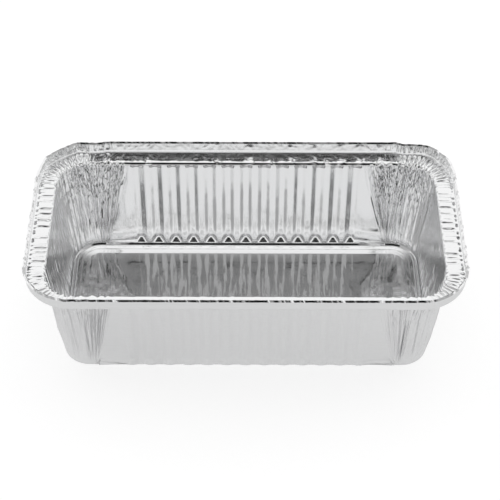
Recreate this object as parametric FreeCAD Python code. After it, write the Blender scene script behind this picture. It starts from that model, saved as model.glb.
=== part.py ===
"""Loaf tray pressed from one sheet of aluminium foil.

The tray is a deep rectangular pan with rounded corners.
Its floor is flat, with a low bead pressed up round the edge, just inside the walls.
The two long walls carry upright ribs that bulge outwards.
In the corners the spare foil is gathered into folds that fan up from the foot to the rim.
The rim is a flat ledge with crinkled corners, an upright flange and a tightly rolled edge.

Every crease is a straight line with flat foil on each side.
The outside skin is drawn first as a stack of rings, from the floor up to the roll.
The inside skin is the same stack, moved in by the thickness of the foil.
Millimetres, +Z up, origin on the table under the middle of the floor.
"""

import FreeCAD
import Part
import math
import os

# The opening, at the inside edge of the ledge
opening_length = 199.0
opening_width = 95.8
opening_corner_radius = 16.0
tray_depth = 57.3

# The foot, where the walls turn under to the floor
foot_length = 186.8
foot_width = 86.6
foot_corner_radius = 14.0
foot_turn = 0.5

# The bead round the floor
bead_gap = 1.2
bead_width = 5.4
bead_crest_width = 1.6
bead_height = 1.3

# The rim
ledge_width = 7.8
ledge_edge_chamfer = 0.8
flange_height = 6.2
flange_lean = 0.4
roll_width = 0.7
roll_height = 0.8

# The foil
foil_thickness = 0.08

# The ribs of the two long walls, as many as fit between the gathers
rib_pitch = 9.6
rib_width = 4.4
rib_floor_width = 1.5
rib_depth = 1.2
rib_bottom_ramp = 4.8
rib_top_ramp = 3.0
rib_top_gap = 5.2

# The gathered corners
facets_per_corner = 24
fold_depth = 0.75
fold_depth_at_foot = 0.12
fold_depth_at_rim = 0.45
ledge_crinkle = 0.22
flange_crinkle = 0.3
fold_reach_on_long_wall = 20.0
fold_reach_on_end_wall = 12.0
fold_reach_at_foot = 1.5
crinkle_reach_on_long_side = 9.0
crinkle_reach_on_end = 4.0

LONG_WALL, CORNER, END_WALL = "long wall", "corner", "end wall"
FLAT = 1e-6


def blend(low, high, share):
    """The value a share of the way from low to high."""
    return low + (high - low) * share


def fold_side(k):
    """How far crease k stands out of the corner: folds turn out and in by uneven amounts."""
    if k in (0, facets_per_corner):
        return 0.0
    return (-1) ** k * (0.7 + 0.3 * math.sin(2.4 * k))


def fold_place(k):
    """Where crease k meets a ring, as a share of the gathered stretch. The folds are unevenly spaced."""
    if k in (0, facets_per_corner):
        return k / facets_per_corner
    return (k + 0.25 * math.sin(1.7 * k)) / facets_per_corner


def rib_middles():
    """Where the ribs stand along a long wall."""
    room = opening_length - 2 * (opening_corner_radius + fold_reach_on_long_wall)
    count = int((room - rib_width) / rib_pitch) + 1
    return [(i - (count - 1) / 2) * rib_pitch for i in range(count)]


class Ring:
    """One closed line round the tray, at one height.

    reach is how far the gathers run past the corner's arc, on the long side and on the end.
    fold is how far the creases stand in and out, and crinkle how far they stand up and down.
    rib is the depth of the ribs at this ring, or None where the long side is plain.
    """

    def __init__(self, half_length, half_width, radius, z, reach, fold=0.0, crinkle=0.0, rib=None):
        self.half_length = half_length
        self.half_width = half_width
        self.radius = radius
        self.z = z
        self.reach = reach
        self.fold = fold
        self.crinkle = crinkle
        self.rib = rib

    def corner(self):
        """The creases of the corner at +X +Y, from the long side to the end."""
        on_long, on_end = self.reach
        arc = self.radius * math.pi / 2
        centre_x = self.half_length - self.radius
        centre_y = self.half_width - self.radius
        points = []
        for k in range(facets_per_corner + 1):
            along = fold_place(k) * (on_long + arc + on_end)
            if along <= on_long:
                x, y, turn = centre_x - on_long + along, self.half_width, math.pi / 2
            elif along < on_long + arc:
                turn = math.pi / 2 - (along - on_long) / self.radius
                x = centre_x + self.radius * math.cos(turn)
                y = centre_y + self.radius * math.sin(turn)
            else:
                x, y, turn = self.half_length, centre_y - (along - on_long - arc), 0.0
            out = self.fold * fold_side(k)
            up = self.crinkle * fold_side(k)
            points.append(
                FreeCAD.Vector(x + out * math.cos(turn), y + out * math.sin(turn), self.z + up)
            )
        return points

    def long_wall(self):
        """The long side at +Y, from -X to +X, with four points for each rib."""
        end = self.half_length - self.radius - self.reach[0]
        points = [FreeCAD.Vector(-end, self.half_width, self.z)]
        if self.rib is not None:
            for middle in rib_middles():
                for x, depth in (
                    (-rib_width / 2, 0.0),
                    (-rib_floor_width / 2, self.rib),
                    (rib_floor_width / 2, self.rib),
                    (rib_width / 2, 0.0),
                ):
                    points.append(FreeCAD.Vector(middle + x, self.half_width + depth, self.z))
        points.append(FreeCAD.Vector(end, self.half_width, self.z))
        return points

    def end_wall(self):
        """The end at +X, from -Y to +Y."""
        end = self.half_width - self.radius - self.reach[1]
        return [FreeCAD.Vector(self.half_length, y, self.z) for y in (-end, end)]

    def sections(self):
        """The ring's eight stretches in order, each with its kind, anticlockwise from the front wall."""
        back = mirrored(self.long_wall(), 1, 1)
        corner = self.corner()
        end = self.end_wall()
        return [
            (LONG_WALL, mirrored(back, 1, -1)),
            (CORNER, mirrored(corner, 1, -1)),
            (END_WALL, end),
            (CORNER, mirrored(corner, 1, 1)[::-1]),
            (LONG_WALL, back[::-1]),
            (CORNER, mirrored(corner, -1, 1)),
            (END_WALL, mirrored(end, -1, 1)[::-1]),
            (CORNER, mirrored(corner, -1, -1)[::-1]),
        ]


def mirrored(points, x_sign, y_sign):
    return [FreeCAD.Vector(p.x * x_sign, p.y * y_sign, p.z) for p in points]


def polygon(points):
    """The flat face through these points, or None where two of its three corners meet."""
    if len(points) == 3 and (points[1] - points[0]).cross(points[2] - points[0]).Length < FLAT:
        return None
    return Part.Face(Part.makePolygon(points + points[:1]))


def is_flat(a, b, c, d):
    normal = (b - a).cross(c - a)
    return normal.Length > FLAT and abs(normal.normalize().dot(d - a)) < FLAT


def strip(low, high):
    """Faces between two stretches of foil: one sheet where one side is plain, otherwise one for each facet."""
    if len(low) != len(high):
        return [polygon(low + high[::-1])]
    faces = []
    for k in range(len(low) - 1):
        a, b, c, d = low[k], low[k + 1], high[k + 1], high[k]
        if is_flat(a, b, c, d):
            faces.append(polygon([a, b, c, d]))
        else:
            faces += [polygon([a, b, c]), polygon([a, c, d])]
    return [face for face in faces if face is not None]


def band(low, high):
    """The foil between two neighbouring rings."""
    faces = []
    for (_, below), (_, above) in zip(low, high):
        faces += strip(below, above)
    return faces


def base_rings():
    """The floor's edge, the bead's crest, the bead's outer edge and the start of the foot's turn."""
    bead_inset = foot_turn + bead_gap
    flank = (bead_width - bead_crest_width) / 2
    rings = []
    for inset, z in (
        (bead_inset + bead_width, 0.0),
        (bead_inset + bead_width - flank, bead_height),
        (bead_inset + flank, bead_height),
        (bead_inset, 0.0),
        (foot_turn, 0.0),
    ):
        rings.append(
            Ring(
                foot_length / 2 - inset,
                foot_width / 2 - inset,
                foot_corner_radius - inset,
                z,
                (fold_reach_at_foot, fold_reach_at_foot),
            )
        )
    return rings


def wall_ring(z, fold, rib=None):
    """A ring of the wall, which is straight from the foot to the opening."""
    share = (z - foot_turn) / (tray_depth - foot_turn)
    reach = (
        blend(fold_reach_at_foot, fold_reach_on_long_wall, share),
        blend(fold_reach_at_foot, fold_reach_on_end_wall, share),
    )
    return Ring(
        blend(foot_length, opening_length, share) / 2,
        blend(foot_width, opening_width, share) / 2,
        blend(foot_corner_radius, opening_corner_radius, share),
        z,
        reach,
        fold,
        rib=rib,
    )


def wall_rings():
    """The foot, the ribbed wall and the plain band under the ledge."""
    rib_bottom = foot_turn + rib_bottom_ramp
    rib_top = tray_depth - rib_top_gap
    middle = (rib_bottom + rib_top) / 2
    return [
        wall_ring(foot_turn, fold_depth_at_foot, rib=0.0),
        wall_ring(rib_bottom, blend(fold_depth_at_foot, fold_depth, 0.4), rib=rib_depth),
        wall_ring(middle, fold_depth, rib=rib_depth),
        wall_ring(rib_top - rib_top_ramp, fold_depth, rib=rib_depth),
        wall_ring(rib_top, fold_depth, rib=0.0),
        wall_ring(tray_depth - ledge_edge_chamfer, fold_depth_at_rim),
    ]


def rim_ring(out, z, fold=0.0, crinkle=0.0):
    """A ring of the rim, a given way out from the opening's edge."""
    return Ring(
        opening_length / 2 + out,
        opening_width / 2 + out,
        opening_corner_radius + out,
        z,
        (crinkle_reach_on_long_side, crinkle_reach_on_end),
        fold,
        crinkle,
    )


def rim_rings():
    """The ledge's inside edge, its outside edge and the top of the flange."""
    middle = (ledge_edge_chamfer + ledge_width) / 2
    return [
        rim_ring(ledge_edge_chamfer, tray_depth, fold_depth_at_rim, ledge_crinkle / 2),
        rim_ring(middle, tray_depth, crinkle=ledge_crinkle),
        rim_ring(ledge_width, tray_depth, flange_crinkle),
        rim_ring(ledge_width + flange_lean, tray_depth + flange_height, flange_crinkle),
    ]


def roll_rings(flange_top):
    """The rolled edge, over the top of the flange from the inside skin to the outside one.

    Each row gives how far out of the flange, and how far up the roll, a ring lies.
    """
    section = (
        (-foil_thickness, 0.6 * roll_height),
        (0.2 * roll_width, roll_height),
        (0.65 * roll_width, roll_height),
        (roll_width, 0.5 * roll_height),
        (0.65 * roll_width, 0.0),
    )
    rings = []
    for out, up in section:
        rings.append(
            Ring(
                flange_top.half_length + out,
                flange_top.half_width + out,
                flange_top.radius + out,
                flange_top.z + foil_thickness + up,
                flange_top.reach,
                flange_top.fold,
            )
        )
    return rings


def inside(sections):
    """The same ring on the inside skin. All points move alike, so what is flat stays flat."""
    narrow_x = 1 - foil_thickness / (opening_length / 2)
    narrow_y = 1 - foil_thickness / (opening_width / 2)
    moved = []
    for kind, points in sections:
        moved.append(
            (
                kind,
                [
                    FreeCAD.Vector(p.x * narrow_x, p.y * narrow_y, p.z + foil_thickness)
                    for p in points
                ],
            )
        )
    return moved


def floor(sections):
    """The flat floor inside its edge ring."""
    outline = []
    for _, points in sections:
        outline += points[:-1]
    return [polygon(outline)]


def tray():
    """The whole tray as one closed solid."""
    rings = base_rings() + wall_rings() + rim_rings()
    outer = [ring.sections() for ring in rings]
    inner = [inside(sections) for sections in outer]
    roll = [ring.sections() for ring in roll_rings(rings[-1])]

    faces = floor(outer[0]) + floor(inner[0])
    for skin in (outer, inner, [inner[-1]] + roll + [outer[-1]]):
        for low, high in zip(skin, skin[1:]):
            faces += band(low, high)

    shell = Part.Shell(faces)
    shell.sewShape()
    solid = Part.Solid(shell)
    if solid.Volume < 0:
        solid.reverse()
    return solid


def main():
    os.makedirs("parts", exist_ok=True)
    solid = tray()
    box = solid.BoundBox
    print(f"valid {solid.isValid()}, {len(solid.Faces)} faces")
    print(f"volume {solid.Volume:.0f} cubic mm")
    print(f"box {box.XLength:.2f} x {box.YLength:.2f} x {box.ZLength:.2f} mm")
    solid.exportStep("parts/foil_tray.step")


main()
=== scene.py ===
"""A loaf tray pressed from one sheet of aluminium foil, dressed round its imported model.

Run as a script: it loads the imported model, presses the sheet, rolls its edge, gives it its
foil, and sets it on a white table. Sizes in the code are millimetres until a mesh is made.
"""

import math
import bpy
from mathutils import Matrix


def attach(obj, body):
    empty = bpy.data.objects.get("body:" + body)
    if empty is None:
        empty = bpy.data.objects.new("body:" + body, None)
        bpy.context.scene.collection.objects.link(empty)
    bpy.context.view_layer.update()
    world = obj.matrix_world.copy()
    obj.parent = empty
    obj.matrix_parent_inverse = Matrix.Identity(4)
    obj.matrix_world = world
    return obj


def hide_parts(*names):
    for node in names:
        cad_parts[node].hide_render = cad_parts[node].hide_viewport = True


bl_info = {
    "name": "Foil Loaf Tray",
    "version": (1, 0, 0),
    "blender": (4, 5, 0),
    "location": "3D View > Sidebar > Foil Tray",
    "description": "Presses a ribbed aluminium foil loaf tray and sets it on a white table",
    "category": "Add Mesh",
}

import bpy
import numpy as np
from bpy.props import FloatProperty, FloatVectorProperty, IntProperty, PointerProperty
from mathutils import Matrix, Vector

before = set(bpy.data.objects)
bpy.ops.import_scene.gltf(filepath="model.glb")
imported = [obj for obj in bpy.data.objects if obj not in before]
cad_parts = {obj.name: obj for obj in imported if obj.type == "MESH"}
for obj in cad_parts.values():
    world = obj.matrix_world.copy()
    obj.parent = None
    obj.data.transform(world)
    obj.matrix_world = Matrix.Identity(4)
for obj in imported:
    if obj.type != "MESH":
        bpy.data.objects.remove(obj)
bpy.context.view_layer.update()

MM = 0.001
NODE = "foil_tray"
BODY = "root"

# Stretches of a quarter of the tray's outline, from the middle of a long wall to the middle of an
# end, and how many stations each holds
RIBBED, PLAIN, GATHER_LONG, ARC, GATHER_END, END = range(6)
STATIONS = {RIBBED: 104, PLAIN: 2, GATHER_LONG: 82, ARC: 80, GATHER_END: 56, END: 30}
# The quarters in order: the signs of X and Y, and whether their stations run backwards
QUARTERS = ((1, -1, False), (1, 1, True), (-1, 1, False), (-1, -1, True))


def length(name, description, default, low=0.0, high=1.0):
    """A length in metres that a user can change."""
    return FloatProperty(
        name=name,
        description=description,
        default=default,
        min=low,
        max=high,
        precision=5,
        subtype="DISTANCE",
        unit="LENGTH",
    )


def number(name, description, default, high=1.0):
    """A plain number from 0 up that a user can change."""
    return FloatProperty(name=name, description=description, default=default, min=0.0, max=high)


def tint(name, description, default):
    """A colour that a user can change."""
    return FloatVectorProperty(
        name=name, description=description, subtype="COLOR", size=3, default=default, min=0.0, max=1.0
    )


class TraySizes(bpy.types.PropertyGroup):
    """The pressed shape."""

    opening_length: length("Opening Length", "Length of the opening at the top of the walls", 0.1966)
    opening_width: length("Opening Width", "Width of the opening at the top of the walls", 0.0934)
    opening_radius: length("Opening Radius", "Corner radius of the opening", 0.0148)
    depth: length("Depth", "Height of the ledge above the table", 0.0573)
    foot_length: length("Foot Length", "Length of the tray at the foot of its walls", 0.1868)
    foot_width: length("Foot Width", "Width of the tray at the foot of its walls", 0.0866)
    foot_radius: length("Foot Radius", "Corner radius at the foot of the walls", 0.014)
    bead_width: length("Bead Width", "Width of the bead round the floor", 0.0059)
    bead_height: length("Bead Height", "Height of the bead round the floor", 0.0013)
    ledge_width: length("Ledge Width", "Width of the ledge, from the walls to the flange", 0.0093)
    flange_height: length("Flange Height", "Height of the upright flange", 0.0062)
    flange_lean: length("Flange Lean", "How far the flange leans out", 0.0002)
    foil: length("Foil Thickness", "Thickness of the sheet", 0.00008)
    rib_pitch: length("Rib Pitch", "Distance between ribs", 0.0096)
    rib_width: length("Rib Width", "Width of a rib", 0.0072)
    rib_flat: length("Rib Flat", "Width of the flat along the middle of a rib", 0.0020)
    rib_depth: length("Rib Depth", "Depth of a rib", 0.0011)
    toe_width: length("Toe Width", "Width of the toe at the foot of a rib", 0.0076)
    toe_depth: length("Toe Depth", "How much deeper a rib is at its toe", 0.0020)
    toe_height: length("Toe Height", "Height of the toe of a rib", 0.0058)
    rib_top_gap: length("Rib Top Gap", "Height of the ledge above the ribs", 0.00095)
    rib_top_ramp: length("Rib Top Ramp", "Height of the slope that closes a rib at its top", 0.00055)
    rib_span: length("Rib Span", "Half the length of wall that carries ribs", 0.06)


class CreaseSettings(bpy.types.PropertyGroup):
    """How the foil is creased."""

    fold_depth: length("Fold Depth", "Depth of the large folds in the corners", 0.00105)
    pleat_depth: length("Pleat Depth", "Depth of the fine pleats in the corners", 0.00036)
    ledge_crinkle: length("Ledge Crinkle", "Height of the crinkles on the ledge", 0.00022)
    flange_wave: length("Flange Wave", "Depth of the flange's waves at the corners", 0.0006)
    crumple_depth: length("Crumple Depth", "Depth of the crumple where folds meet", 0.00042)
    crumple_size: length("Crumple Size", "Distance between the crumple's creases", 0.0026)
    sheet_wave: length("Sheet Wave", "Depth of the sheet's soft waves", 0.00012)
    seed: IntProperty(name="Seed", description="Changes every crease", default=7, min=0)


class FoilFinish(bpy.types.PropertyGroup):
    """The foil's surface."""

    bright_colour: tint(
        "Bright Side", "Colour of the bright side, which faces into the tray", (0.9, 0.902, 0.905)
    )
    bright_roughness: number("Bright Side Roughness", "Roughness of the bright side", 0.08)
    bright_brushing: number("Bright Side Brushing", "How much the flange is brushed on this side", 0.8)
    # The matt side's colour is darker partly as the real matt finish and partly as painted shade,
    # standing for the table's shadow mirrored in the outer walls
    matt_colour_and_painted_shade: tint("Matt Side", "Colour of the matt side, which faces out", (0.67, 0.672, 0.675))
    matt_roughness: number("Matt Side Roughness", "Roughness of the matt side", 0.38)


class StudioSettings(bpy.types.PropertyGroup):
    """Table, light and camera."""

    table_colour: tint("Table Colour", "Colour of the table top", (0.4, 0.4, 0.4))
    table_glow: number("Table Glow", "Light added to the table in view", 0.72, high=2.0)
    shade: number("Shade", "How dark the room is behind the camera", 0.76)
    core_shade: number("Core Shade", "How much darker it is round the camera", 0.23)
    side_shade: number("Side Shade", "How dark the room's sides are", 0.57)
    skirting_shade: number("Skirting Shade", "How dark the room is low down at its back", 0.42)
    lens: FloatProperty(
        name="Lens", description="Focal length of the camera", default=104.18, min=10.0, max=500.0
    )
    distance: length("Distance", "From the camera to the tray's middle", 0.7484, high=10.0)
    elevation: FloatProperty(
        name="Elevation",
        description="Height of the camera above the table, as an angle",
        default=math.radians(46.643),
        subtype="ANGLE",
        unit="ROTATION",
    )


# Small tools


def smooth(low, high, x):
    """0 below low, 1 above high, and an even curve between."""
    t = np.clip((x - low) / (high - low), 0.0, 1.0)
    return t * t * (3.0 - 2.0 * t)


def bump_between(x, rise, top_low, top_high, fall):
    """0 outside rise and fall, 1 between the two tops."""
    return smooth(rise, top_low, x) * (1.0 - smooth(top_high, fall, x))


def lattice(ix, iy, seed):
    """A fixed random number from 0 to 1 at each whole-numbered place."""
    h = np.sin(ix * 127.1 + iy * 311.7 + seed * 74.7) * 43758.5453
    return h - np.floor(h)


def noise(x, y, seed):
    """Smooth noise from -1 to 1."""
    ix, iy = np.floor(x), np.floor(y)
    fx, fy = smooth(0, 1, x - ix), smooth(0, 1, y - iy)
    a, b = lattice(ix, iy, seed), lattice(ix + 1, iy, seed)
    c, d = lattice(ix, iy + 1, seed), lattice(ix + 1, iy + 1, seed)
    return ((a + (b - a) * fx) * (1 - fy) + (c + (d - c) * fx) * fy) * 2.0 - 1.0


def zigzag(x):
    """A wave of straight slopes from -1 to 1, one for each unit of x."""
    return 4.0 * np.abs(x - np.floor(x + 0.5)) - 1.0


# The outline of the tray


class Outline:
    """The stations round the tray: where each lies at a given level, and which way is out."""

    def __init__(self, sizes):
        self.rib_span = sizes.rib_span / MM
        quarter = [(kind, i / count) for kind, count in STATIONS.items() for i in range(count)]
        quarter.append((END, 1.0))
        self.zone, self.along = (np.array(values) for values in zip(*quarter))
        last = len(quarter) - 1
        whole = []
        for x_sign, y_sign, back in QUARTERS:
            order = range(last, 0, -1) if back else range(last)
            whole += [(i, float(x_sign), float(y_sign)) for i in order]
        self.pick, self.x_sign, self.y_sign = (np.array(values) for values in zip(*whole))
        self.count = len(whole)

    def at(self, half_length, half_width, radius, reach_long, reach_end):
        """Positions and outward directions of every station on one level."""
        arc_x, arc_y = half_length - radius, half_width - radius
        gather_x, gather_y = arc_x - reach_long, arc_y - reach_end
        t, zone = self.along, self.zone
        turn = (1.0 - t) * math.pi / 2
        x = np.select(
            [zone == RIBBED, zone == PLAIN, zone == GATHER_LONG, zone == ARC],
            [
                t * self.rib_span,
                self.rib_span + (gather_x - self.rib_span) * t,
                gather_x + (arc_x - gather_x) * t,
                arc_x + radius * np.cos(turn),
            ],
            half_length,
        )
        y = np.select(
            [zone < ARC, zone == ARC, zone == GATHER_END],
            [half_width, arc_y + radius * np.sin(turn), arc_y + (gather_y - arc_y) * t],
            gather_y * (1.0 - t),
        )
        out_x = np.select([zone < ARC, zone == ARC], [0.0, np.cos(turn)], 1.0)
        out_y = np.select([zone < ARC, zone == ARC], [1.0, np.sin(turn)], 0.0)
        return (
            x[self.pick] * self.x_sign,
            y[self.pick] * self.y_sign,
            out_x[self.pick] * self.x_sign,
            out_y[self.pick] * self.y_sign,
        )


class Level:
    """One ring of the sheet: its size, its height, and the way its outer side faces.

    share says how far the level lies across its part of the sheet, from 0 to 1.
    """

    def __init__(self, half_length, half_width, radius, z, reach, tilt, part, share):
        self.ring = (half_length, half_width, radius, *reach)
        self.z = z
        self.tilt = tilt
        self.part = part
        self.share = share


BEAD, WALL, LEDGE, FLANGE = range(4)
FLOOR_STEPS, WALL_STEPS, LEDGE_STEPS, FLANGE_STEPS = 6, 23, 8, 7
# The tilt of a part whose outer side faces the table; an upright part's is 0
DOWN = -1.57
# Lengths (mm): the flat between bead and walls, the chamfer at their foot, the round of the flange
BEAD_GAP = 1.25
FOOT_TURN = 1.0
FLANGE_ROUND = 0.5
# How far the flange has turned up at each ring of that round (degrees)
FLANGE_TURNS = (30.0, 60.0, 90.0)
# How far a toe stands out for each unit of its height
TOE_SLOPE = 0.94
# The chamfer at the foot of the walls: inset, height (mm) and tilt
FOOT_SECTION = (
    (1.17, 0.02, DOWN),
    (1.1, 0.0, -1.4),
    (1.05, 0.0, -1.2),
    (1.0, 0.04, -0.8),
    (0.05, 0.96, -0.8),
    (0.015, FOOT_TURN - 0.01, -0.5),
    (0.0, FOOT_TURN, 0.0),
)
# Heights of the lowest and the highest rings of the walls
LOW_RINGS = (1.0, 1.35, 1.8, 2.25, 2.7, 3.2, 3.7, 4.2, 5.8, 8.0)
TOP_RINGS = (55.8, 56.35)
# The edge of the opening, from the wall to the ledge: out and down from the ledge (mm)
EDGE_SECTION = (
    (0.0, -0.95),
    (0.05, -0.89),
    (0.72, -0.22),
    (0.82, -0.13),
    (0.94, -0.05),
    (1.07, 0.0),
    (1.17, 0.0),
)
# How far the gathers reach from a corner's arc, along the long wall and along the end (mm)
REACH_AT_FOOT = (5.0, 20.0)
REACH_AT_RIM = (22.0, 24.0)
# Lengths of the other stretches, as places are counted round a corner (mm)
RIBBED_STRETCH = 60.0
PLAIN_STRETCH = 3.0
END_STRETCH = 8.0
CORNER_ARC = 25.0
# Distances between creases, and their widths (mm)
FOLD_PITCH = 4.6
PLEAT_PITCH = 2.1
END_PLEAT_PITCH = 4.2
STROKE_PITCH = 3.1
STROKE_WIDTH = 0.95
KNOT_PITCH = 9.6
KNOT_WIDTH = 2.6
RING_PITCH = 1.9
# Angle between the creases that spread from a corner's foot (radians)
FAN_ANGLE = 0.21
# Heights of the ledge's creases, in crinkle heights, and the width they are laid out on (mm)
CLOSE_HEIGHT = 0.33
KNOT_HEIGHT = 5.5
RING_HEIGHT = 3.2
STROKE_HEIGHT = 6.0
LEDGE_ACROSS = 9.0
# Each corner's folds have a seed of their own
CORNER_SEEDS = 11.0
# Swells of the flange's top edge: corner, from and to (mm from its middle), and height (mm)
CORNER_SWELLS = (
    (2, -22.0, -9.0, -1.0),
    (2, -9.0, 4.0, -1.2),
    (2, 4.0, 15.0, -0.8),
    (3, -17.0, -7.0, -1.2),
    (3, -6.8, 1.5, 0.7),
    (3, 1.8, 8.5, 0.7),
    (3, 8.8, 16.0, 0.4),
)
# Height of the floor's waves; where along X the foot creases start and the ribs end; and the
# place round a corner where its folds start (mm)
FLOOR_WAVE = 0.07
FAN_FOOT = 78.0
RIB_END = 62.4
FAN_START = -REACH_AT_RIM[0] - CORNER_ARC / 2
# The bead, from its inner side out: shares of its width and of its height
BEAD_SECTION = (
    (0.0, 0.0),
    (0.04, 0.03),
    (0.2, 0.19),
    (0.38, 0.41),
    (0.46, 0.49),
    (0.52, 0.51),
    (0.6, 0.62),
    (0.78, 0.95),
    (0.83, 1.0),
    (0.88, 0.93),
    (0.94, 0.5),
    (1.0, 0.05),
)


def half_sizes(sizes, end):
    """Half the length, half the width and the corner radius of the tray's foot or opening."""
    whole = [getattr(sizes, f"{end}_{key}") / MM for key in ("length", "width", "radius")]
    return whole[0] / 2, whole[1] / 2, whole[2]


def floor_levels(sizes):
    """The bead round the floor, and the narrow flat and the chamfer between it and the walls."""
    hl, hw, radius = half_sizes(sizes, "foot")
    bead, crest = sizes.bead_width / MM, sizes.bead_height / MM
    steps = []
    for share, rise in BEAD_SECTION:
        steps.append((BEAD_GAP + bead * (1 - share), crest * rise, DOWN, BEAD, share))
    for inset, z, tilt in FOOT_SECTION:
        steps.append((inset, z, tilt, WALL, 0.0))
    levels = []
    for inset, z, tilt, part, share in steps:
        size = (hl - inset, hw - inset, radius - inset)
        levels.append(Level(*size, z, REACH_AT_FOOT, tilt, part, share))
    return levels


def wall_levels(sizes):
    """The walls, from the foot to the edge of the opening."""
    foot, opening = half_sizes(sizes, "foot"), half_sizes(sizes, "opening")
    top = sizes.depth / MM + EDGE_SECTION[0][1]
    levels = []
    for z in (*LOW_RINGS, *np.linspace(LOW_RINGS[-1], TOP_RINGS[0], WALL_STEPS)[1:-1], *TOP_RINGS):
        share = (z - FOOT_TURN) / (top - FOOT_TURN)
        size = (a + (b - a) * share for a, b in zip(foot, opening))
        reach = tuple(a + (b - a) * share for a, b in zip(REACH_AT_FOOT, REACH_AT_RIM))
        levels.append(Level(*size, z, reach, 0.0, WALL, share))
    return levels


def rim_levels(sizes):
    """The edge of the opening, the ledge, the turn at its outer edge, and the flange."""
    opening, depth = half_sizes(sizes, "opening"), sizes.depth / MM
    width, lean, height = sizes.ledge_width / MM, sizes.flange_lean / MM, sizes.flange_height / MM
    edge = EDGE_SECTION[-1][0]
    steps = []
    for out, drop in EDGE_SECTION:
        steps.append((out, drop, -math.pi / 2 * smooth(EDGE_SECTION[0][1], 0.0, drop), LEDGE))
    flat = width - FLANGE_ROUND - edge
    for i in range(1, LEDGE_STEPS + 1):
        steps.append((edge + flat * i / LEDGE_STEPS, 0.0, DOWN, LEDGE))
    for angle in FLANGE_TURNS:
        turn = math.radians(angle)
        out = width - FLANGE_ROUND * (1 - math.sin(turn))
        steps.append((out, FLANGE_ROUND * (1 - math.cos(turn)), turn + DOWN, FLANGE))
    for i in range(1, FLANGE_STEPS + 1):
        share = i / FLANGE_STEPS
        rise = FLANGE_ROUND + (height - FLANGE_ROUND) * share
        steps.append((width + lean * share, rise, 0.0, FLANGE))
    levels = []
    for out, rise, tilt, part in steps:
        share = out / width if part == LEDGE else rise / height
        size = (half + out for half in opening)
        levels.append(Level(*size, depth + rise, REACH_AT_RIM, tilt, part, share))
    return levels


def fan_places(outline):
    """How far round the gathers each station lies, in millimetres from its corner's middle."""
    long_reach, end_reach = REACH_AT_RIM
    arc = CORNER_ARC
    t, zone = outline.along, outline.zone
    place = np.select(
        [zone == RIBBED, zone == PLAIN, zone == GATHER_LONG, zone == ARC, zone == GATHER_END],
        [
            -PLAIN_STRETCH - (1 - t) * RIBBED_STRETCH,
            -PLAIN_STRETCH * (1 - t),
            t * long_reach,
            long_reach + t * arc,
            long_reach + arc + t * end_reach,
        ],
        long_reach + arc + end_reach + t * END_STRETCH,
    )
    return (place - long_reach - arc / 2)[outline.pick]


def corner_of(outline):
    """0 to 3 for the corner that each station belongs to."""
    return (outline.x_sign > 0) * 1 + (outline.y_sign > 0) * 2


def wall_mask(place, share, seed):
    """1 in the gathers of the walls, whose folds start one by one along a ragged line."""
    ragged = 3.0 * noise(share * 5.0, 0.5, seed)
    start = FAN_START - 1.0 + ragged
    return smooth(start, start + 9.0, place) * (1.0 - 0.9 * smooth(4.0, 24.0, place))


def walk_round(row):
    """How far round the tray each station lies."""
    steps = np.diff(row[:, :2], axis=0, prepend=row[:1, :2])
    return np.cumsum(np.hypot(steps[:, 0], steps[:, 1]))


def fold_shape(place, share, seed):
    """The large folds of the corners: straight slopes that wander a little as they rise."""
    wander = 0.5 * noise(place / 8.0 + 3.1, share * 1.3, seed + 1)
    strength = 0.6 + 0.6 * noise(place / 4.5, share * 1.4 + 9.0, seed + 2)
    return zigzag(place / FOLD_PITCH + wander + seed * 0.37) * strength


def pleat_shape(place, share, seed):
    """The fine pleats between the folds, which start and stop."""
    wander = 0.5 * noise(place / 5.0, share * 1.6, seed + 3)
    strength = 0.55 + 1.1 * noise(place / 3.0 + 5.0, share * 2.2, seed + 4)
    return zigzag(place / PLEAT_PITCH + wander) * np.clip(strength, 0.0, 1.3)


def end_pleat_shape(place, share, seed):
    """The shallow upright pleats of the end walls."""
    wander = 0.4 * noise(place / 7.0, share * 1.5, seed + 5)
    return zigzag(place / END_PLEAT_PITCH + wander) + 0.5 * noise(place / 1.3, share * 2.0, seed + 8)


def foot_fan_shape(x, z, seed):
    """Short creases that spread from the foot of each corner over the long wall."""
    across, up = FAN_FOOT - np.abs(x), z + 1.5
    reach = np.hypot(across, up)
    angle = np.arctan2(across, up)
    strength = smooth(1.5, 5.0, reach) * (1.0 - smooth(9.0, 17.0, reach))
    strength = strength * smooth(0.3, 0.6, angle) * (1.0 - smooth(1.25, 1.45, angle))
    return strength * zigzag(angle / FAN_ANGLE + 0.3 * noise(angle * 4.0, reach / 6.0, seed))


def stroke_shape(walk, across, seed):
    """Single creases that run across the ledge, unevenly spaced, each with its own depth."""
    u = walk / STROKE_PITCH
    cell = np.floor(u)
    middle = 0.5 + 0.7 * (lattice(cell, 0.0, seed) - 0.5)
    bend = 0.1 * noise(walk / 9.0, across / 3.0, seed + 1)
    off = np.abs(u - cell - middle + bend) * STROKE_PITCH
    depth = lattice(cell, 5.0, seed) ** 0.9
    return -depth * np.clip(1.0 - off / STROKE_WIDTH, 0.0, 1.0)


def knot_shape(walk, seed):
    """1 in the middle of each crushed spot along the edge of the opening, 0 between them."""
    u = walk / KNOT_PITCH
    cell = np.floor(u)
    middle = 0.5 + 0.5 * (lattice(cell, 2.0, seed) - 0.5)
    off = np.abs(u - cell - middle) * KNOT_PITCH
    return smooth(KNOT_WIDTH, 0.4 * KNOT_WIDTH, off) * (lattice(cell, 3.0, seed) > 0.3)


def crinkle_shape(walk, across, seed):
    """The close crinkle of the ledge: short ridges that cross it at a slant."""
    slant = walk + 0.5 * across * np.sign(noise(walk / 11.0, 0.5, seed))
    first = 1.0 - 2.6 * np.abs(noise(slant / 1.9, across / 2.6, seed + 2))
    second = 1.0 - 2.6 * np.abs(noise(slant / 1.05 + 7.0, across / 1.5, seed + 3))
    return 0.65 * first + 0.4 * second


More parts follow.
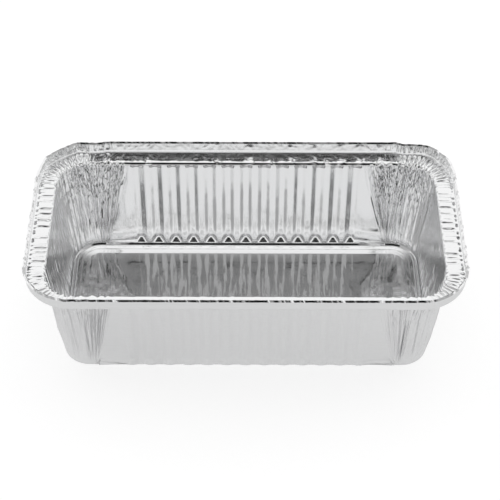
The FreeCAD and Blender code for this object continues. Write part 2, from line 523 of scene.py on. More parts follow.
def ring_shape(place, walk, across, seed):
    """Radial creases of the ledge round its corners, white and dark side by side."""
    wander = 0.35 * noise(place / 5.0, across / 9.0, seed + 6)
    strength = 0.75 + 0.6 * noise(walk / 2.7, across / 7.0, seed + 7)
    return zigzag(place / RING_PITCH + wander) * strength


def corner_swell(place, corner):
    """How far the flange's top edge stands off a true arc: flat in one corner, lobed in another."""
    total = np.zeros(place.shape)
    for number, low, high, height in CORNER_SWELLS:
        t = (place - low) / (high - low)
        inside = (corner == number) & (t > 0) & (t < 1)
        total = np.where(inside, height * 4.0 * t * (1.0 - t), total)
    return total


def sheet_points(levels, outline, creases):
    """Every point of the sheet, level by level, with its folds pressed in, and the way it faces."""
    place = fan_places(outline)
    corner = corner_of(outline)
    seed = creases.seed + corner * CORNER_SEEDS
    curve = 1.0 - smooth(11.0, 18.0, np.abs(place))
    on_end = smooth(8.0, 14.0, place)
    fold, pleat = creases.fold_depth / MM, creases.pleat_depth / MM
    crinkle, wave = creases.ledge_crinkle / MM, creases.flange_wave / MM
    x, y = outline.at(*levels[-1].ring)[:2]
    walk = walk_round(np.stack([x, y], axis=1))
    rows = []
    for level in levels:
        x, y, out_x, out_y = outline.at(*level.ring)
        share = level.share
        out = np.zeros(outline.count)
        up = np.zeros(outline.count)
        if level.part == WALL:
            large = bump_between(share, -0.03, 0.3, 0.9, 1.7) * fold
            fine = bump_between(share, 0.0, 0.3, 0.95, 1.7) * pleat
            held = wall_mask(place, share, seed)
            large, fine = large * fold_shape(place, share, seed), fine * pleat_shape(place, share, seed)
            out = held * (large + fine)
            out = out + 0.7 * fold * (place < 0) * foot_fan_shape(x, level.z, seed)
            soft = smooth(13.0, 20.0, place) * bump_between(share, 0.0, 0.12, 0.9, 1.0)
            soft = soft * (1.2 - 0.7 * share)
            out = out + soft * 0.4 * pleat * end_pleat_shape(place, share, seed)
        elif level.part == LEDGE:
            across = share * LEDGE_ACROSS
            long_side = 1.0 - smooth(-18.0, -11.0, place)
            close = CLOSE_HEIGHT * crinkle * crinkle_shape(walk, across, creases.seed)
            knot = KNOT_HEIGHT * knot_shape(walk, creases.seed)
            ring = curve * RING_HEIGHT * crinkle * ring_shape(place, walk, across, seed)
            stroke = on_end * (1 - curve) * STROKE_HEIGHT * crinkle
            stroke = stroke * stroke_shape(walk, across, creases.seed)
            shape = close * (0.6 + 0.4 * long_side)
            shape = shape * (1.0 + (knot - 0.6) * (1.0 - smooth(0.15, 0.5, share)))
            shape = shape + ring + stroke
            up = shape * bump_between(share, 0.03, 0.2, 0.62, 0.9)
            carried = 0.94 * fold * fold_shape(place, 1.0, seed)
            carried = carried + 0.99 * pleat * pleat_shape(place, 1.0, seed)
            out = wall_mask(place, 1.0, seed) * carried * (1.0 - smooth(0.0, 0.3, share))
            out = out + 0.9 * shape * bump_between(share, 0.0, 0.05, 0.1, 0.3)
            out = out + smooth(0.5, 0.98, share) * corner_swell(place, corner)
        elif level.part == FLANGE:
            near = 1.0 - smooth(18.0, 30.0, np.abs(place))
            swell = noise(place / 9.0 + 2.0, share * 0.6, seed + 5)
            out = near * 0.3 * wave * smooth(0.0, 0.8, share) * swell
            out = out + corner_swell(place, corner)
            ripple = noise(walk / 1.6 + 0.6 * share, share * 0.8, creases.seed + 9.0)
            out = out + (0.03 + 0.97 * near) * 0.2 * smooth(0.1, 0.5, share) * ripple
        side, lift = math.cos(level.tilt), math.sin(level.tilt)
        point = (x + out * out_x, y + out * out_y, level.z + up)
        facing = (out_x * side, out_y * side, np.full(outline.count, lift))
        rows.append(np.stack([*point, *facing], axis=1))
    return np.array(rows)


def floor_wave(x, y, inside):
    """The floor's soft waves, which run across it and leave its edge flat."""
    wave = noise(x / 5.5 + 0.35 * noise(x / 14.0, y / 10.0, 31.0), y / 26.0 + 4.0, 33.0)
    wave = wave + 0.5 * noise(x / 2.6, y / 20.0, 35.0)
    return FLOOR_WAVE * smooth(0.0, 0.15, inside) * (1.0 + wave / 1.5)


def floor_rows(edge, half_length, half_width):
    """The floor inside the bead: every station runs straight in to a spine along the middle."""
    spine_x = np.clip(edge[:, 0], half_width - half_length, half_length - half_width)
    rows = []
    for i in range(FLOOR_STEPS, 0, -1):
        t = (i / FLOOR_STEPS) ** 0.9
        row = edge.copy()
        row[:, 0] = edge[:, 0] + (spine_x - edge[:, 0]) * t
        row[:, 1] = edge[:, 1] * (1 - t)
        row[:, 2] = floor_wave(row[:, 0], row[:, 1], min(t, 1 - t)) if t < 1 else 0.0
        row[:, 3:5] = 0.0
        row[:, 5] = -1.0
        rows.append(row)
    return np.array(rows)


def grid_mesh(name, rows, values):
    """A mesh from rings of points, with the values of each point kept as attributes."""
    levels, count = rows.shape[0], rows.shape[1]
    points = rows[:, :, :3].reshape(-1, 3) * MM
    index = np.arange(levels * count).reshape(levels, count)
    after = np.roll(index, -1, axis=1)
    faces = np.stack([index[:-1], after[:-1], after[1:], index[1:]], axis=-1).reshape(-1, 4)
    mesh = bpy.data.meshes.new(name)
    mesh.from_pydata(points.tolist(), [], faces.tolist())
    for key, data in values.items():
        if data.ndim < 3:
            attribute = mesh.attributes.new(key, "FLOAT", "POINT")
            full = np.broadcast_to(data, rows.shape[:2])
            attribute.data.foreach_set("value", full.astype(np.float32).ravel())
        else:
            attribute = mesh.attributes.new(key, "FLOAT_VECTOR", "POINT")
            attribute.data.foreach_set("vector", data.astype(np.float32).ravel())
    mesh.update()
    return mesh


def add_object(name, mesh):
    made = bpy.data.objects.new(name, mesh)
    bpy.context.scene.collection.objects.link(made)
    return made


# Node trees


class Tree:
    """A small helper that adds nodes to a tree and joins them as it goes."""

    def __init__(self, tree):
        self.tree = tree

    def node(self, kind, settings=None, **inputs):
        made = self.tree.nodes.new(kind)
        for key, value in (settings or {}).items():
            setattr(made, key, value)
        for key, value in inputs.items():
            self.feed(made, key.replace("_", " "), value)
        return made

    def feed(self, made, key, value):
        if isinstance(value, bpy.types.NodeSocket):
            self.tree.links.new(value, made.inputs[key])
        else:
            made.inputs[key].default_value = value

    def result(self, made, values):
        for i, value in enumerate(values):
            self.feed(made, i, value)
        return made.outputs[0]

    def math(self, operation, *values, clamp=False):
        settings = {"operation": operation, "use_clamp": clamp}
        return self.result(self.node("ShaderNodeMath", settings), values)

    def vector(self, operation, *values):
        return self.result(self.node("ShaderNodeVectorMath", {"operation": operation}), values)

    def scale(self, vector, factor):
        made = self.node("ShaderNodeVectorMath", {"operation": "SCALE"}, Scale=factor)
        return self.result(made, (vector,))

    def total(self, first, *others):
        for other in others:
            first = self.math("ADD", first, other)
        return first

    def product(self, first, *others):
        for other in others:
            first = self.math("MULTIPLY", first, other)
        return first

    def noise(self, vector, detail, scale=1.0):
        return self.node("ShaderNodeTexNoise", Vector=vector, Scale=scale, Detail=detail).outputs[0]

    def span(self, value, low, high, to_low=0.0, to_high=1.0, curve="SMOOTHSTEP"):
        limits = {"From_Min": low, "From_Max": high, "To_Min": to_low, "To_Max": to_high}
        made = self.node("ShaderNodeMapRange", {"interpolation_type": curve}, Value=value, **limits)
        return made.outputs["Result"]


def new_geometry_tree(name, numbers):
    """A Geometry Nodes tree with a mesh, named numbers and a material going in."""
    tree = bpy.data.node_groups.new(name, "GeometryNodeTree")
    tree.interface.new_socket("Geometry", in_out="INPUT", socket_type="NodeSocketGeometry")
    for key in numbers:
        tree.interface.new_socket(key, in_out="INPUT", socket_type="NodeSocketFloat")
    tree.interface.new_socket("Material", in_out="INPUT", socket_type="NodeSocketMaterial")
    tree.interface.new_socket("Geometry", in_out="OUTPUT", socket_type="NodeSocketGeometry")
    given = tree.nodes.new("NodeGroupInput")
    result = tree.nodes.new("NodeGroupOutput")
    return tree, Tree(tree), given.outputs, result.inputs


def finish_geometry_tree(build, given, result, geometry):
    """Real geometry with its material: what leaves every tree."""
    real = build.node("GeometryNodeRealizeInstances", Geometry=geometry)
    shaded = build.node("GeometryNodeSetMaterial", Geometry=real.outputs[0], Material=given["Material"])
    build.tree.links.new(shaded.outputs[0], result["Geometry"])


def run_geometry_tree(thing, tree, values, thickness=None):
    """Runs a tree on an object, gives it the foil's thickness, and keeps the mesh that comes out."""
    for side in (values["Material"], bright_foil()):
        if side.name not in thing.data.materials:
            thing.data.materials.append(side)
    modifier = thing.modifiers.new(tree.name, "NODES")
    modifier.node_group = tree
    for item in tree.interface.items_tree:
        if item.in_out == "INPUT" and item.name in values:
            modifier[item.identifier] = values[item.name]
    if thickness is not None:
        solid = thing.modifiers.new("Foil", "SOLIDIFY")
        solid.thickness = thickness
        solid.offset = -1.0
        solid.use_even_offset = False
        solid.material_offset = 1
        solid.material_offset_rim = 1
    bpy.context.view_layer.update()
    seen = thing.evaluated_get(bpy.context.evaluated_depsgraph_get())
    mesh = bpy.data.meshes.new_from_object(seen)
    thing.modifiers.clear()
    old = thing.data
    thing.data = mesh
    mesh.name = thing.name
    bpy.data.meshes.remove(old)
    return thing


# The settings that the press takes
RIB_KEYS = ("rib_pitch", "rib_width", "rib_flat", "rib_depth", "rib_top_ramp")
PRESS_SIZES = (*RIB_KEYS, "toe_width", "toe_depth", "toe_height")
PRESS_CREASES = ("crumple_depth", "crumple_size", "sheet_wave")
# Heights (m) over which a rib's face rises from the foot, and from which its toe fades; half the
# width of the toe's flat (m), and the curve of its sides
FACE_RISE = (0.0006, 0.0022)
TOE_FADE = 0.0038
TOE_FLAT = 0.0004
TOE_CURVE = 1.2
# Sizes of the crumple's creases as shares of Crumple Size, how much longer they are, and weights
CRUMPLE_CREASES = ((1.0, 6.0, 1.0), (0.5, 5.0, 0.5))
# Length of the sheet's soft waves, and how close two points are to become one (m)
SHEET_WAVE_LENGTH = 0.013
DOUBLES = 0.000001


def spelled(key):
    """The name of the input that stands for a setting."""
    return key.replace("_", " ").title()


def press_tree():
    """Presses ribs into the long walls, crumples the corners and waves the whole sheet."""
    names = [spelled(key) for key in PRESS_SIZES + PRESS_CREASES]
    names += ["Toe Slope", "Foot Turn", "Rib Top", "Seed"]
    tree, build, given, result = new_geometry_tree("Press Foil", names)
    place = build.node("GeometryNodeInputPosition").outputs[0]
    spot = build.node("ShaderNodeSeparateXYZ", Vector=place).outputs

    def attribute(name, kind="FLOAT"):
        return build.node("GeometryNodeInputNamedAttribute", {"data_type": kind}, Name=name).outputs[0]

    out = attribute("out", "FLOAT_VECTOR")
    wall = attribute("rib_wall")
    crumpled = attribute("crumpled")
    waved = attribute("waved")
    sheet = attribute("sheet", "FLOAT_VECTOR")

    # Ribs
    half = build.product(given["Rib Pitch"], 0.5)
    moved = build.total(spot["X"], half)
    within = build.math("SUBTRACT", build.math("FLOORED_MODULO", moved, given["Rib Pitch"]), half)
    from_axis = build.math("ABSOLUTE", within)
    flat, edge = build.product(given["Rib Flat"], 0.5), build.product(given["Rib Width"], 0.5)
    across = build.span(from_axis, flat, edge, 1.0, 0.0, "LINEAR")
    rise = build.span(spot["Z"], *FACE_RISE, 0.0, 1.0, "LINEAR")
    face = build.product(across, given["Rib Depth"], rise)
    toe_edge = build.product(given["Toe Width"], 0.5)
    across = build.span(from_axis, TOE_FLAT, toe_edge, 1.0, 0.0, "LINEAR")
    across = build.math("POWER", across, TOE_CURVE)
    fade = build.span(spot["Z"], TOE_FADE, given["Toe Height"], 1.0, 0.0, "LINEAR")
    toe = build.product(across, given["Toe Depth"], fade)
    facet = build.product(build.math("SUBTRACT", spot["Z"], given["Foot Turn"]), given["Toe Slope"])
    top_start = build.math("SUBTRACT", given["Rib Top"], given["Rib Top Ramp"])
    head = build.span(spot["Z"], top_start, given["Rib Top"], given["Rib Depth"], 0.0, "LINEAR")
    below = build.math("LESS_THAN", spot["Z"], top_start)
    head = build.total(head, build.product(given["Toe Depth"], below))
    deep = build.math("MINIMUM", build.math("MINIMUM", build.total(face, toe), head), facet)
    deep = build.product(deep, wall)

    # Crumple: long creases that follow the folds
    shift = build.node("ShaderNodeCombineXYZ", Z=given["Seed"]).outputs[0]
    on_sheet = build.node("ShaderNodeSeparateXYZ", Vector=sheet).outputs

    def ridges(size_factor, stretch, weight):
        size = build.product(given["Crumple Size"], size_factor)
        round_it = build.math("DIVIDE", on_sheet["X"], size)
        up_it = build.math("DIVIDE", on_sheet["Y"], build.product(size, stretch))
        spread = build.node("ShaderNodeCombineXYZ", X=round_it, Y=up_it).outputs[0]
        grain = build.noise(build.vector("ADD", spread, shift), 1.0)
        ridge = build.math("ABSOLUTE", build.math("SUBTRACT", grain, 0.5))
        return build.product(build.math("SUBTRACT", ridge, 0.09), 6.0 * weight)

    long_creases = build.total(*(ridges(*crease) for crease in CRUMPLE_CREASES))
    crumple = build.product(long_creases, crumpled, given["Crumple Depth"])

    # Soft waves
    soft = build.noise(build.vector("ADD", build.scale(sheet, 1.0 / SHEET_WAVE_LENGTH), shift), 1.5)
    wave = build.product(build.math("SUBTRACT", soft, 0.5), 2.0, given["Sheet Wave"], waved)

    offset = build.scale(out, build.total(deep, build.total(crumple, wave)))
    pressed = build.node("GeometryNodeSetPosition", Geometry=given["Geometry"], Offset=offset)
    joined = build.node("GeometryNodeMergeByDistance", Geometry=pressed.outputs[0], Distance=DOUBLES)
    smoothed = build.node("GeometryNodeSetShadeSmooth", Geometry=joined.outputs[0])
    finish_geometry_tree(build, given, result, smoothed.outputs[0])
    return tree


# The rolled edge's section, its nicks and its wander (m), and how far it lies in and up from the
# flange's top (mm)
ROLL_SIZES = {
    "Width": 0.0015,
    "Height": 0.0014,
    "Nick Pitch": 0.0022,
    "Nick Depth": 0.00006,
    "Wander": 0.0001,
}
ROLL_WANDER_LENGTH = 0.011
ROLL_IN, ROLL_UP = 0.17, 0.07


def roll_tree():
    """Sweeps the rolled edge round the flange and nicks it where the rolling tool bit."""
    tree, build, given, result = new_geometry_tree("Roll Edge", (*ROLL_SIZES, "Seed"))
    path = build.node("GeometryNodeMeshToCurve", Mesh=given["Geometry"]).outputs[0]
    path = build.node("GeometryNodeSetCurveNormal", {"mode": "Z_UP"}, Curve=path).outputs[0]
    section = build.node("GeometryNodeCurvePrimitiveCircle", Resolution=4, Radius=0.5).outputs["Curve"]
    size = build.node("ShaderNodeCombineXYZ", X=given["Width"], Y=given["Height"], Z=1.0).outputs[0]
    section = build.node("GeometryNodeTransform", Geometry=section, Scale=size).outputs[0]
    swept = build.node("GeometryNodeCurveToMesh", Curve=path, Profile_Curve=section).outputs[0]
    place = build.node("GeometryNodeInputPosition").outputs[0]
    facing = build.node("GeometryNodeInputNormal").outputs[0]
    shift = build.node("ShaderNodeCombineXYZ", Z=given["Seed"]).outputs[0]
    spread = build.scale(place, build.math("DIVIDE", 1.0, given["Nick Pitch"]))
    grain = build.noise(build.vector("ADD", spread, shift), 2.0)
    nick = build.span(grain, 0.35, 0.65, build.product(given["Nick Depth"], -1.0), given["Nick Depth"])
    pushed = build.scale(facing, nick)
    spread = build.scale(place, 1.0 / ROLL_WANDER_LENGTH)
    drift = build.noise(build.vector("ADD", spread, shift), 1.0)
    drift = build.product(build.math("SUBTRACT", drift, 0.5), given["Wander"])
    lift = build.node("ShaderNodeCombineXYZ", Z=drift).outputs[0]
    offset = build.vector("ADD", pushed, lift)
    moved = build.node("GeometryNodeSetPosition", Geometry=swept, Offset=offset).outputs[0]
    faceted = build.node("GeometryNodeSetShadeSmooth", Geometry=moved)
    faceted.inputs["Shade Smooth"].default_value = False
    finish_geometry_tree(build, given, result, faceted.outputs[0])
    return tree


# Foil

# Rolling streaks: how fine they are along X, Y and Z, and how far they change the roughness
STREAK_SCALE = (60.0, 2600.0, 2600.0)
STREAK_CHANGE = (0.8, 1.25)
# Heights of the surface (mm), and how fine they are
RIPPLE_HEIGHT, RIPPLE_SCALE = 0.025, 330.0
FLOOR_HEIGHT, FLOOR_SCALE = 0.17, (200.0, 45.0, 1.0)
# How much of those heights shows on each side
BRIGHT_RELIEF, MATT_RELIEF = 1.0, 0.5
# Ridges in the material: width (mm), how much longer they are, height (mm), and where they lie
RIDGES = ((1.4, 10.0, 0.2, "pleated"), (2.4, 3.4, 0.6, "crushed"))


def surface_group():
    """What both sides of the foil share: rolling streaks, and a surface that is never quite flat."""
    made = bpy.data.node_groups.get("Foil Surface")
    if made:
        return made
    tree = bpy.data.node_groups.new("Foil Surface", "ShaderNodeTree")
    for side, keys in (("INPUT", ("Roughness", "Brushing")), ("OUTPUT", ("Roughness", "Height"))):
        for key in keys:
            tree.interface.new_socket(key, in_out=side, socket_type="NodeSocketFloat")
    build = Tree(tree)
    given = tree.nodes.new("NodeGroupInput").outputs
    result = tree.nodes.new("NodeGroupOutput").inputs
    place = build.node("ShaderNodeTexCoord").outputs["Object"]

    def attribute(name, output="Fac"):
        return build.node("ShaderNodeAttribute", {"attribute_name": name}).outputs[output]

    def stretched_noise(vector, scale, detail):
        laid = build.node("ShaderNodeMapping", Vector=vector, Scale=scale).outputs[0]
        return build.noise(laid, detail)

    change = build.span(stretched_noise(place, STREAK_SCALE, 3.0), 0.3, 0.7, *STREAK_CHANGE)
    brushed = build.math("MULTIPLY_ADD", attribute("brushed"), given["Brushing"], 1.0)
    change = build.product(change, brushed)
    tree.links.new(build.product(given["Roughness"], change), result["Roughness"])

    # Heights in millimetres: a fine ripple, pleats and crushed marks, and long waves on the floor
    height = build.product(build.noise(place, 2.0, RIPPLE_SCALE), RIPPLE_HEIGHT)
    for size, stretch, depth, where in RIDGES:
        spread = (1000.0 / size, 1000.0 / size / stretch, 1.0)
        grain = stretched_noise(attribute("sheet", "Vector"), spread, 1.0)
        ridge = build.math("ABSOLUTE", build.math("SUBTRACT", grain, 0.5))
        height = build.total(height, build.product(ridge, 4.0 * depth, attribute(where)))
    wave = build.product(stretched_noise(place, FLOOR_SCALE, 1.5), FLOOR_HEIGHT, attribute("floored"))
    tree.links.new(build.total(height, wave), result["Height"])
    return tree


def foil_material(name, colour, roughness, brushing, relief):
    """Aluminium foil, metal all through."""
    material = bpy.data.materials.new(name)
    material.use_nodes = True
    build = Tree(material.node_tree)
    shader = material.node_tree.nodes["Principled BSDF"]
    shader.inputs["Metallic"].default_value = 1.0
    shader.inputs["Base Color"].default_value = (*colour, 1.0)
    settings = {"node_tree": surface_group()}
    surface = build.node("ShaderNodeGroup", settings, Roughness=roughness, Brushing=brushing).outputs
    build.feed(shader, "Roughness", surface["Roughness"])
    bump = build.node("ShaderNodeBump", Height=surface["Height"], Strength=1.0, Distance=relief * MM)
    build.feed(shader, "Normal", bump.outputs[0])
    return material


def bright_foil():
    """The bright side, which was against the polished roller."""
    name, finish = "Bright Foil Side", bpy.context.scene.foil_finish
    looks = finish.bright_colour, finish.bright_roughness, finish.bright_brushing
    return bpy.data.materials.get(name) or foil_material(name, *looks, BRIGHT_RELIEF)


def matt_foil_with_painted_shade():
    """The matt side: rough like real matt foil, and darker in colour than the bright side as painted
    shade, which stands for the table's shadow that the outer walls mirror.
    """
    name, finish = "Matt Foil Side With Painted Shade", bpy.context.scene.foil_finish
    looks = finish.matt_colour_and_painted_shade, finish.matt_roughness, 0.0
    return bpy.data.materials.get(name) or foil_material(name, *looks, MATT_RELIEF)


def dress(piece):
    """Says what the piece stands for."""
    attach(piece, BODY)
    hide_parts(NODE)


# What the press and the materials read at each point; a piece that leaves one out has none of it
MARKS = ("rib_wall", "crumpled", "crushed", "waved", "pleated", "floored")
# How strongly walls and rim are crumpled and pleated, next to the settings' full depth
WALL_CRUMPLE, WALL_PLEATS, END_PLEATS = 0.15, 0.5, 0.6
FLANGE_CRUMPLE, FLANGE_PLEATS, CORNER_PLEATS = 0.26, 0.03, 0.7
# The rim's height on the flat sheet (m), how fine its crumple is, and a seed of its own
RIM_ON_SHEET = 0.006
RIM_CRUMPLE_SIZE = 0.5
RIM_SEEDS = 20.0


def pressed_rows(scene, make_levels):
    """The outline, the levels and the points of one part of the sheet."""
    outline = Outline(scene.tray_sizes)
    levels = make_levels(scene.tray_sizes)
    return outline, levels, sheet_points(levels, outline, scene.tray_creases)


def of_levels(levels, key):
    """One number of every level, ready to spread over its stations."""
    return np.array([getattr(level, key) for level in levels])[:, None]


def on_sheet(rows, heights):
    """Where each point lies on the flat sheet, in metres: how far round, and how far up."""
    walk = np.broadcast_to(walk_round(rows[-1]) * MM, rows.shape[:2])
    return np.stack([walk, np.broadcast_to(heights, walk.shape), np.zeros(walk.shape)], axis=-1)


def press(name, rows, marks, numbers, sizes):
    """Makes one piece of the sheet from its rings of points."""
    values = {"out": rows[:, :, 3:6], **{key: np.zeros((1, 1)) for key in MARKS}, **marks}
    piece = add_object(name, grid_mesh(name, rows, values))
    run_geometry_tree(piece, press_tree(), {**numbers, "Material": matt_foil_with_painted_shade()}, sizes.foil)
    dress(piece)


class FOILTRAY_OT_floor(bpy.types.Operator):
    """Presses the floor and the bead round it"""

    bl_idname = "foiltray.floor"
    bl_label = "Press the Floor"

    def execute(self, context):
        sizes, creases = context.scene.tray_sizes, context.scene.tray_creases
        _, levels, rows = pressed_rows(context.scene, floor_levels)
        half_length, half_width = levels[0].ring[0], levels[0].ring[1]
        rows = np.concatenate([floor_rows(rows[0], half_length, half_width), rows])
        floored = np.arange(len(rows))[:, None] < FLOOR_STEPS
        marks = {"floored": floored, "sheet": 0.0 * rows[:, :, :3]}
        numbers = {"Rib Pitch": sizes.rib_pitch, "Crumple Size": creases.crumple_size}
        press("foil_floor", rows, marks, numbers, sizes)
        return {"FINISHED"}


class FOILTRAY_OT_walls(bpy.types.Operator):
    """Presses the ribbed walls and gathers their corners"""

    bl_idname = "foiltray.walls"
    bl_label = "Press the Walls"

    def execute(self, context):
        sizes, creases = context.scene.tray_sizes, context.scene.tray_creases
        outline, levels, rows = pressed_rows(context.scene, wall_levels)
        share = of_levels(levels, "share")
        place = fan_places(outline)[None, :]
        held = wall_mask(place, share, creases.seed + corner_of(outline) * CORNER_SEEDS)
        inner = bump_between(share, 0.02, 0.15, 0.9, 0.99)
        on_end = smooth(10.0, 16.0, place)
        marks = {
            "rib_wall": (place < FAN_START + 1.0) & (np.abs(rows[:, :, 0]) < RIB_END),
            "crumpled": WALL_CRUMPLE * held * inner * (1.0 - on_end),
            "crushed": held * smooth(0.45, 0.8, share) * (1.0 - 0.7 * smooth(-2.0, 10.0, place)),
            "waved": inner,
            "pleated": np.maximum(WALL_PLEATS * held, END_PLEATS * on_end),
            "sheet": on_sheet(rows, rows[:, :, 2] * MM),
        }
        numbers = {
            **{spelled(key): getattr(sizes, key) for key in PRESS_SIZES},
            **{spelled(key): getattr(creases, key) for key in PRESS_CREASES},
            "Toe Slope": TOE_SLOPE,
            "Foot Turn": FOOT_TURN * MM,
            "Rib Top": sizes.depth - sizes.rib_top_gap,
            "Seed": float(creases.seed),
        }
        press("foil_walls", rows, marks, numbers, sizes)
        return {"FINISHED"}


class FOILTRAY_OT_rim(bpy.types.Operator):
    """Presses the ledge and the upright flange, and rolls its edge"""

    bl_idname = "foiltray.rim"
    bl_label = "Press the Rim"

    def execute(self, context):
        sizes, creases = context.scene.tray_sizes, context.scene.tray_creases
        outline, levels, rows = pressed_rows(context.scene, rim_levels)
        share = of_levels(levels, "share")
        flange = of_levels(levels, "part") == FLANGE
        near = 1.0 - smooth(16.0, 32.0, np.abs(fan_places(outline)[None, :]))
        marks = {
            "crumpled": flange * FLANGE_CRUMPLE * near * smooth(0.05, 0.3, share),
            "pleated": flange * (FLANGE_PLEATS + CORNER_PLEATS * near),
            "brushed": flange,
            "sheet": on_sheet(rows, share * RIM_ON_SHEET),
        }
        numbers = {
            "Rib Pitch": sizes.rib_pitch,
            "Crumple Depth": creases.crumple_depth,
            "Crumple Size": creases.crumple_size * RIM_CRUMPLE_SIZE,
            "Sheet Wave": creases.sheet_wave,
            "Seed": float(creases.seed) + RIM_SEEDS,
        }
        press("foil_rim", rows, marks, numbers, sizes)
        self.roll(rows[-1], creases)
        return {"FINISHED"}

    def roll(self, edge, creases):
        """Rolls the edge of the flange, all the way round."""
        path = bpy.data.meshes.new("rolled_edge")
        count = len(edge)
        points = edge[:, :3] - ROLL_IN * edge[:, 3:6]
        points[:, 2] = edge[:, 2] + ROLL_UP
        path.from_pydata((points * MM).tolist(), [(i, (i + 1) % count) for i in range(count)], [])
        roll = add_object("rolled_edge", path)
        numbers = {**ROLL_SIZES, "Seed": float(creases.seed)}
        run_geometry_tree(roll, roll_tree(), {**numbers, "Material": bright_foil()})
        dress(roll)


class FOILTRAY_OT_stage(bpy.types.Operator):
    """Lays the white table, hangs the studio's light and sets the camera"""

    bl_idname = "foiltray.stage"
    bl_label = "Set the Studio"

    def execute(self, context):
        studio = context.scene.tray_studio
        lay_table(studio)
        light_studio(studio)
        set_camera(studio)
        context.scene.view_settings.view_transform = "Standard"
        return {"FINISHED"}


# Half the side of the table (m)
TABLE_HALF = 4.0
# Heights of the room's dark bands, in degrees: where each starts, is full, starts to fade and ends
CORE_BAND = (40.8, 43.2, 50.5, 52.8)
WIDE_BAND = (36.5, 45.0, 56.0, 76.0)
SIDE_BAND = (13.0, 35.0, 60.0, 78.0)
SKIRTING_BAND = (-1.0, 0.5, 7.0, 12.0)
# Where each starts and is full, from -1 (behind the camera) to 1 (behind the tray)
FRONT_EDGE = (-0.72, -0.86)
SIDE_EDGE = (0.3, -0.2)
SKIRTING_EDGE = (0.25, 0.5)
# How the camera is turned and shifted, and the point it looks at (m)
CAMERA_YAW, CAMERA_ROLL = math.radians(0.037), math.radians(0.203)
CAMERA_SHIFT = (0.00857, 0.02797)
AIM = (0.0, 0.0, 0.03)


def lay_table(studio):
    """A plain pale table top that keeps the tray's shadow."""
    mesh = bpy.data.meshes.new("table_top")
    corners = [(x * TABLE_HALF, y * TABLE_HALF, 0) for x, y in ((-1, -1), (1, -1), (1, 1), (-1, 1))]
    mesh.from_pydata(corners, [], [(0, 1, 2, 3)])
    table = add_object("table_top", mesh)
    material = bpy.data.materials.new("Matt White Table")
    material.use_nodes = True
    shader = material.node_tree.nodes["Principled BSDF"]
    shader.inputs["Base Color"].default_value = (*studio.table_colour, 1.0)
    shader.inputs["Roughness"].default_value = 1.0
    shader.inputs["Specular IOR Level"].default_value = 0.0
    shader.inputs["Emission Color"].default_value = (1.0, 1.0, 1.0, 1.0)
    build = Tree(material.node_tree)
    path = build.node("ShaderNodeLightPath").outputs
    seen = build.total(path["Is Camera Ray"], path["Is Glossy Ray"])
    seen = build.math("ADD", seen, path["Is Transmission Ray"], clamp=True)
    build.feed(shader, "Emission Strength", build.product(seen, studio.table_glow))
    mesh.materials.append(material)


def light_studio(studio):
    """A white room: dark round the camera, half dark at its sides, with a grey skirting at its back."""
    world = bpy.data.worlds.new("Studio")
    bpy.context.scene.world = world
    world.use_nodes = True
    build = Tree(world.node_tree)
    back = world.node_tree.nodes["Background"]
    way = build.node("ShaderNodeTexCoord").outputs["Generated"]
    spot = build.node("ShaderNodeSeparateXYZ", Vector=way).outputs
    level = build.math("SQRT", build.math("SUBTRACT", 1.0, build.math("POWER", spot["Z"], 2.0)))
    toward = build.math("DIVIDE", spot["Y"], build.math("MAXIMUM", level, 0.001))
    height = build.math("ARCSINE", build.math("MINIMUM", build.math("MAXIMUM", spot["Z"], -1.0), 1.0))

    def band(low, full, still, gone):
        rise = build.span(height, math.radians(low), math.radians(full))
        fall = build.span(height, math.radians(still), math.radians(gone), 1.0, 0.0)
        return build.product(rise, fall)

    front = build.span(toward, *FRONT_EDGE)
    sides = build.product(build.span(toward, *SIDE_EDGE), build.math("SUBTRACT", 1.0, front))
    core = build.product(band(*CORE_BAND), studio.core_shade)
    wide = build.product(band(*WIDE_BAND), studio.shade)
    behind = build.product(front, build.total(core, wide))
    beside = build.product(sides, band(*SIDE_BAND), studio.side_shade)
    skirting = build.product(build.span(toward, *SKIRTING_EDGE), band(*SKIRTING_BAND))
    skirting = build.product(skirting, studio.skirting_shade)
    shade = build.math("SUBTRACT", 1.0, build.total(behind, beside, skirting))
    colour = build.node("ShaderNodeCombineColor", Red=shade, Green=shade, Blue=shade)
    build.feed(back, "Color", colour.outputs[0])
    back.inputs["Strength"].default_value = 1.0


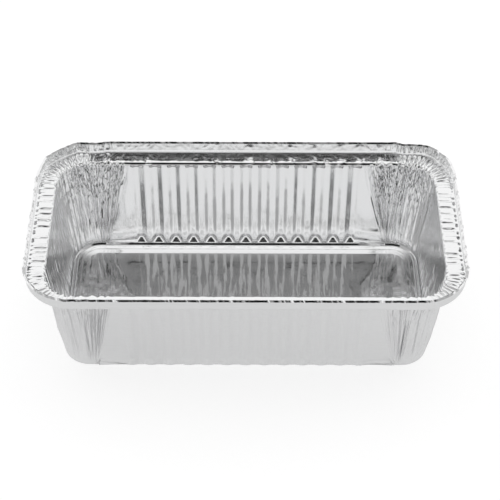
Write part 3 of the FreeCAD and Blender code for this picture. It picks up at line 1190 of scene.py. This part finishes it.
def set_camera(studio):
    """The camera at the photograph's angle."""
    tilt, yaw, roll = studio.elevation, CAMERA_YAW, CAMERA_ROLL
    ahead = Vector((math.sin(yaw) * math.cos(tilt), math.cos(yaw) * math.cos(tilt), -math.sin(tilt)))
    right = Vector((math.cos(yaw), -math.sin(yaw), 0.0))
    up = right.cross(ahead)
    right_turned = math.cos(roll) * right + math.sin(roll) * up
    up_turned = -math.sin(roll) * right + math.cos(roll) * up
    data = bpy.data.cameras.new("camera")
    data.lens = studio.lens
    data.sensor_width = 36.0
    data.shift_x, data.shift_y = CAMERA_SHIFT
    data.clip_start = 0.01
    camera = add_object("camera", data)
    turn = Matrix((right_turned, up_turned, -ahead)).transposed().to_4x4()
    camera.matrix_world = Matrix.Translation(Vector(AIM) - ahead * studio.distance) @ turn
    bpy.context.scene.camera = camera


class FOILTRAY_PT_panel(bpy.types.Panel):
    """Lists the steps in the order they are made"""

    bl_label = "Foil Tray"
    bl_idname = "FOILTRAY_PT_panel"
    bl_space_type = "VIEW_3D"
    bl_region_type = "UI"
    bl_category = "Foil Tray"

    def draw(self, context):
        for maker in MAKERS:
            self.layout.operator(maker.bl_idname)
        for key in ("tray_sizes", "tray_creases", "foil_finish", "tray_studio"):
            box = self.layout.box()
            settings = getattr(context.scene, key)
            for name in settings.__annotations__:
                box.prop(settings, name)


MAKERS = (FOILTRAY_OT_floor, FOILTRAY_OT_walls, FOILTRAY_OT_rim, FOILTRAY_OT_stage)
SETTINGS = {
    "tray_sizes": TraySizes,
    "tray_creases": CreaseSettings,
    "foil_finish": FoilFinish,
    "tray_studio": StudioSettings,
}
CLASSES = (*SETTINGS.values(), *MAKERS, FOILTRAY_PT_panel)


def register():
    for cls in CLASSES:
        bpy.utils.register_class(cls)
    for key, cls in SETTINGS.items():
        setattr(bpy.types.Scene, key, PointerProperty(type=cls))


def unregister():
    for key in SETTINGS:
        delattr(bpy.types.Scene, key)
    for cls in reversed(CLASSES):
        bpy.utils.unregister_class(cls)


def main():
    register()
    bpy.ops.foiltray.floor()
    bpy.ops.foiltray.walls()
    bpy.ops.foiltray.rim()
    bpy.ops.foiltray.stage()


if __name__ == "__main__":
    main()
